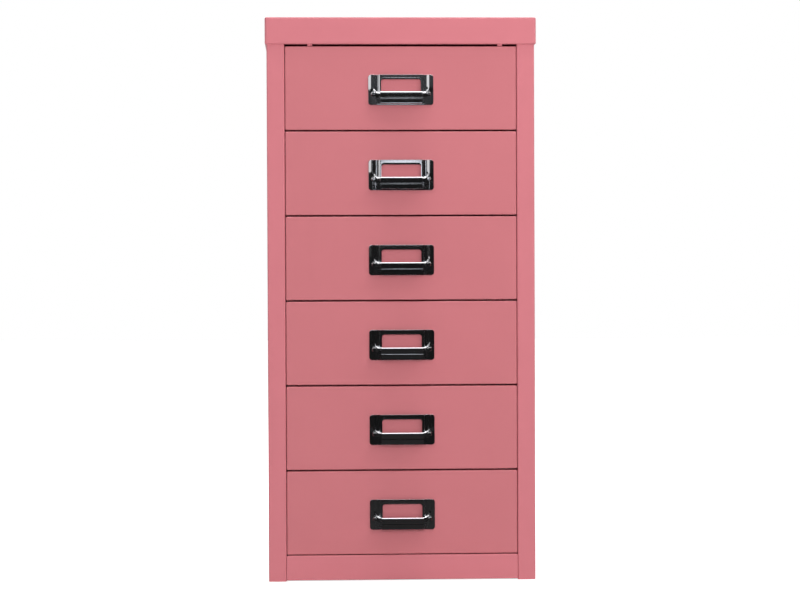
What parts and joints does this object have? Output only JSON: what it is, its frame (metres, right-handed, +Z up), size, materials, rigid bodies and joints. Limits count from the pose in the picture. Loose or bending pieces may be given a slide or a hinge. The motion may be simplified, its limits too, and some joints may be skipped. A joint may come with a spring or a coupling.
{
  "type": "drawer cabinet",
  "caption": "Small free-standing steel cabinet with a column of shallow drawers, each with a chrome card-frame pull, under a pressed cap.",
  "frame": {"origin": "centre of the whole object's footprint, pulls counted, at floor level", "axes": "+Z up, +Y towards the back, drawers open along -Y, +X to the right of someone facing the drawers"},
  "size_m": [0.2826, 0.3958, 0.5875],
  "materials": {
    "painted_carcass": "satin powder coat",
    "painted_drawer": "satin powder coat",
    "zinc_plated_steel": "zinc plated",
    "glide_plastic": "nylon",
    "chrome_plate": "polished chrome plate",
    "screw_steel": "zinc plated"
  },
  "bodies": {
    "cabinet": {"top_cap": "painted_carcass", "side_panel_left": "painted_carcass", "side_panel_right": "painted_carcass", "back_panel": "painted_carcass", "bottom_panel": "painted_carcass", "top_rail": "painted_carcass", "base_rail": "painted_carcass", "runner_glides": "glide_plastic", "runner_left_1": "zinc_plated_steel", "runner_left_2": "zinc_plated_steel", "runner_left_3": "zinc_plated_steel", "runner_left_4": "zinc_plated_steel", "runner_left_5": "zinc_plated_steel", "runner_left_6": "zinc_plated_steel", "runner_right_1": "zinc_plated_steel", "runner_right_2": "zinc_plated_steel", "runner_right_3": "zinc_plated_steel", "runner_right_4": "zinc_plated_steel", "runner_right_5": "zinc_plated_steel", "runner_right_6": "zinc_plated_steel"},
    "drawer_1": {"drawer_front_1": "painted_drawer", "drawer_tray_1": "painted_drawer", "drawer_pull_1": "chrome_plate", "pull_screws_1": "screw_steel"},
    "drawer_2": {"drawer_front_2": "painted_drawer", "drawer_tray_2": "painted_drawer", "drawer_pull_2": "chrome_plate", "pull_screws_2": "screw_steel"},
    "drawer_3": {"drawer_front_3": "painted_drawer", "drawer_tray_3": "painted_drawer", "drawer_pull_3": "chrome_plate", "pull_screws_3": "screw_steel"},
    "drawer_4": {"drawer_front_4": "painted_drawer", "drawer_tray_4": "painted_drawer", "drawer_pull_4": "chrome_plate", "pull_screws_4": "screw_steel"},
    "drawer_5": {"drawer_front_5": "painted_drawer", "drawer_tray_5": "painted_drawer", "drawer_pull_5": "chrome_plate", "pull_screws_5": "screw_steel"},
    "drawer_6": {"drawer_front_6": "painted_drawer", "drawer_tray_6": "painted_drawer", "drawer_pull_6": "chrome_plate", "pull_screws_6": "screw_steel"}
  },
  "joints": [
    {"name": "drawer_1_slide", "type": "slide", "parent": "cabinet", "child": "drawer_1", "axis": [0, -1, 0], "range_m": [0, 0.2735]},
    {"name": "drawer_2_slide", "type": "slide", "parent": "cabinet", "child": "drawer_2", "axis": [0, -1, 0], "range_m": [0, 0.2735]},
    {"name": "drawer_3_slide", "type": "slide", "parent": "cabinet", "child": "drawer_3", "axis": [0, -1, 0], "range_m": [0, 0.2735]},
    {"name": "drawer_4_slide", "type": "slide", "parent": "cabinet", "child": "drawer_4", "axis": [0, -1, 0], "range_m": [0, 0.2735]},
    {"name": "drawer_5_slide", "type": "slide", "parent": "cabinet", "child": "drawer_5", "axis": [0, -1, 0], "range_m": [0, 0.2735]},
    {"name": "drawer_6_slide", "type": "slide", "parent": "cabinet", "child": "drawer_6", "axis": [0, -1, 0], "range_m": [0, 0.2735]}
  ]
}
